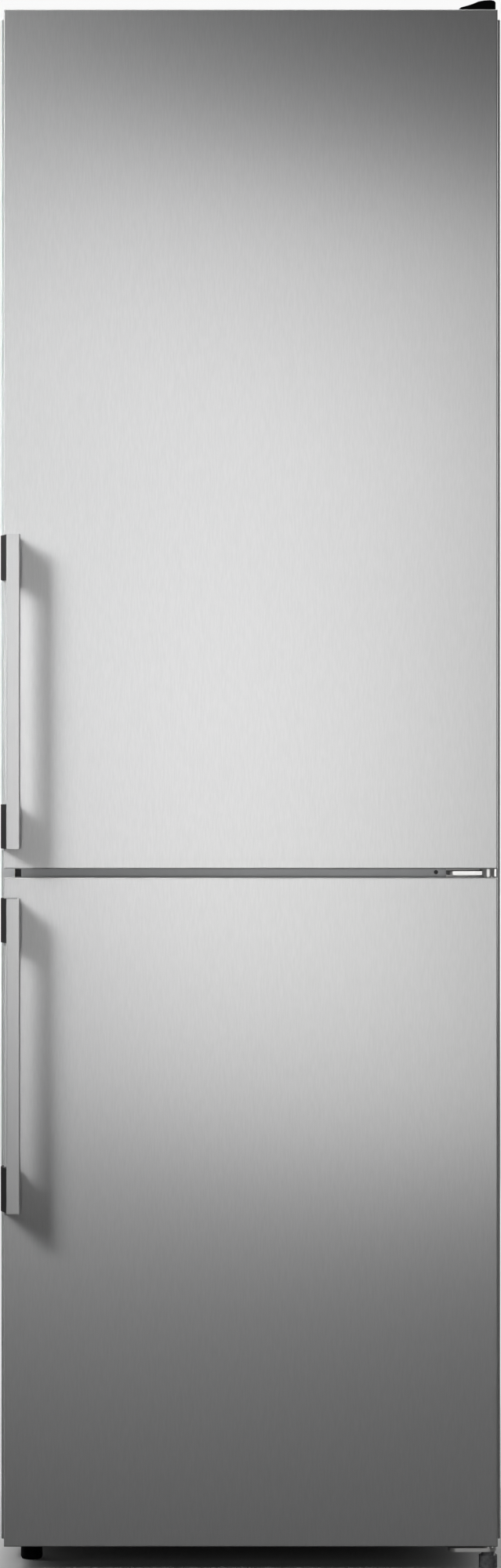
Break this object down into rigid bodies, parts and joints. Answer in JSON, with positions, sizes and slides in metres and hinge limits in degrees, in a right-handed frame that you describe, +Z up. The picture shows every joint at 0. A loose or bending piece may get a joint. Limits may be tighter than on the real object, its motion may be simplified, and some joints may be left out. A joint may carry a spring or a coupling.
{
  "type": "freestanding fridge freezer",
  "caption": "Tall freestanding fridge freezer with brushed steel doors, bar handles on the left, hinges on the right, glass shelves, drawers and door bins.",
  "frame": {"origin": "on the floor, under the middle of the whole outline with handles and wall spacers", "axes": "+Z up, the doors face -Y, +X is to the right of someone facing the doors, on the hinge side"},
  "size_m": [0.595, 0.688, 1.8495],
  "materials": {
    "silver_paint": "satin silver-gray paint",
    "zinc_sheet": "galvanised steel sheet",
    "stainless": "brushed upright, anti-fingerprint",
    "handle_steel": "satin",
    "hinge_steel": "nickel-gray",
    "black_plastic": "fine grained",
    "gray_plastic": "satin silver lacquer",
    "white_liner": "vacuum formed",
    "white_plastic": "moulded",
    "foam": "rigid polyurethane foam",
    "gasket": "soft PVC with a magnet strip",
    "glass": "toughened float glass",
    "clear_plastic": "clear polystyrene",
    "black_enamel": "gloss black enamel",
    "copper": "bare copper pipe",
    "bare_aluminium": "mill finish",
    "black_rubber": "moulded"
  },
  "bodies": {
    "cabinet": {"cabinet_shell": "silver_paint", "back_panel": "zinc_sheet", "base_plate": "zinc_sheet", "cabinet_foam": "foam", "fridge_liner": "white_liner", "freezer_liner": "white_liner", "mid_rail": "gray_plastic", "mid_rail_ends": "gray_plastic", "machine_tray": "zinc_sheet", "compressor": "black_enamel", "compressor_mounts": "black_rubber", "terminal_box": "black_plastic", "refrigerant_pipes": "copper", "drain_pan": "black_plastic", "condenser_tube": "black_enamel", "condenser_wires": "black_enamel", "wall_spacers": "black_plastic", "evaporator": "bare_aluminium", "evaporator_cover": "white_plastic", "fan_motor": "black_plastic", "air_duct": "white_plastic", "control_housing": "white_plastic", "lamp_cover": "clear_plastic", "fridge_shelves": "glass", "shelf_trims": "gray_plastic", "freezer_shelves": "glass", "hinge_top": "hinge_steel", "hinge_cover": "black_plastic", "hinge_mid": "hinge_steel", "hinge_bottom": "hinge_steel", "hinge_screws": "hinge_steel"},
    "fridge_door": {"fridge_door_panel": "stainless", "fridge_door_bushes": "gray_plastic", "fridge_door_foam": "foam", "fridge_door_liner": "white_liner", "fridge_gasket": "gasket", "fridge_handle_bar": "handle_steel", "fridge_handle_brackets": "black_plastic"},
    "freezer_door": {"freezer_door_panel": "stainless", "freezer_door_bushes": "gray_plastic", "freezer_door_foam": "foam", "freezer_door_liner": "white_liner", "freezer_gasket": "gasket", "freezer_handle_bar": "handle_steel", "freezer_handle_brackets": "black_plastic"},
    "bottle_bin": {"bottle_bin": "clear_plastic"},
    "door_bin_low": {"door_bin_low": "clear_plastic"},
    "door_bin_mid": {"door_bin_mid": "clear_plastic"},
    "door_bin_top": {"door_bin_top": "clear_plastic"},
    "crisper_drawer": {"crisper_drawer": "clear_plastic"},
    "chiller_drawer": {"chiller_drawer": "clear_plastic"},
    "freezer_drawer_low": {"freezer_drawer_low": "clear_plastic"},
    "freezer_drawer_mid": {"freezer_drawer_mid": "clear_plastic"},
    "freezer_drawer_top": {"freezer_drawer_top": "clear_plastic"},
    "fan_rotor": {"fan_rotor": "white_plastic"},
    "temperature_knob": {"temperature_knob": "white_plastic"},
    "foot_left": {"foot_left": "black_plastic"},
    "foot_right": {"foot_right": "black_plastic"},
    "roller_left": {"roller_left": "black_rubber"},
    "roller_right": {"roller_right": "black_rubber"}
  },
  "joints": [
    {"name": "fridge_door_swing", "type": "hinge", "parent": "cabinet", "child": "fridge_door", "pos_m": [0.28, -0.29, 1.3315], "axis": [0, 0, 1], "range_deg": [0, 130]},
    {"name": "freezer_door_swing", "type": "hinge", "parent": "cabinet", "child": "freezer_door", "pos_m": [0.28, -0.29, 0.422], "axis": [0, 0, 1], "range_deg": [0, 130]},
    {"name": "crisper_slide", "type": "slide", "parent": "cabinet", "child": "crisper_drawer", "axis": [0, -1, 0], "range_m": [0, 0.19]},
    {"name": "chiller_slide", "type": "slide", "parent": "cabinet", "child": "chiller_drawer", "axis": [0, -1, 0], "range_m": [0, 0.169]},
    {"name": "freezer_low_slide", "type": "slide", "parent": "cabinet", "child": "freezer_drawer_low", "axis": [0, -1, 0], "range_m": [0, 0.14]},
    {"name": "freezer_mid_slide", "type": "slide", "parent": "cabinet", "child": "freezer_drawer_mid", "axis": [0, -1, 0], "range_m": [0, 0.1235]},
    {"name": "freezer_top_slide", "type": "slide", "parent": "cabinet", "child": "freezer_drawer_top", "axis": [0, -1, 0], "range_m": [0, 0.107]},
    {"name": "bottle_bin_lift", "type": "slide", "parent": "fridge_door", "child": "bottle_bin", "axis": [0, 0, 1], "range_m": [0, 0.02]},
    {"name": "bin_low_lift", "type": "slide", "parent": "fridge_door", "child": "door_bin_low", "axis": [0, 0, 1], "range_m": [0, 0.02]},
    {"name": "bin_mid_lift", "type": "slide", "parent": "fridge_door", "child": "door_bin_mid", "axis": [0, 0, 1], "range_m": [0, 0.02]},
    {"name": "bin_top_lift", "type": "slide", "parent": "fridge_door", "child": "door_bin_top", "axis": [0, 0, 1], "range_m": [0, 0.02]},
    {"name": "fan_spin", "type": "hinge", "parent": "cabinet", "child": "fan_rotor", "pos_m": [0, 0.193, 0.6957], "axis": [0, 1, 0], "continuous": true},
    {"name": "knob_turn", "type": "hinge", "parent": "cabinet", "child": "temperature_knob", "pos_m": [0.07, -0.158, 1.7412], "axis": [0, 0, 1], "range_deg": [0, 270]},
    {"name": "foot_left_screw", "type": "slide", "parent": "cabinet", "child": "foot_left", "axis": [0, 0, -1], "range_m": [0, 0.008]},
    {"name": "foot_right_screw", "type": "slide", "parent": "cabinet", "child": "foot_right", "axis": [0, 0, -1], "range_m": [0, 0.008]},
    {"name": "roller_left_spin", "type": "hinge", "parent": "cabinet", "child": "roller_left", "pos_m": [-0.2305, 0.269, 0.011], "axis": [1, 0, 0], "continuous": true},
    {"name": "roller_right_spin", "type": "hinge", "parent": "cabinet", "child": "roller_right", "pos_m": [0.2305, 0.269, 0.011], "axis": [1, 0, 0], "continuous": true}
  ],
  "couplings": [
    {"joint": "crisper_slide", "follows": "fridge_door_swing", "m_per_rad": 0.0837},
    {"joint": "chiller_slide", "follows": "fridge_door_swing", "m_per_rad": 0.0744},
    {"joint": "freezer_low_slide", "follows": "freezer_door_swing", "m_per_rad": 0.0617},
    {"joint": "freezer_mid_slide", "follows": "freezer_door_swing", "m_per_rad": 0.0544},
    {"joint": "freezer_top_slide", "follows": "freezer_door_swing", "m_per_rad": 0.0471}
  ]
}
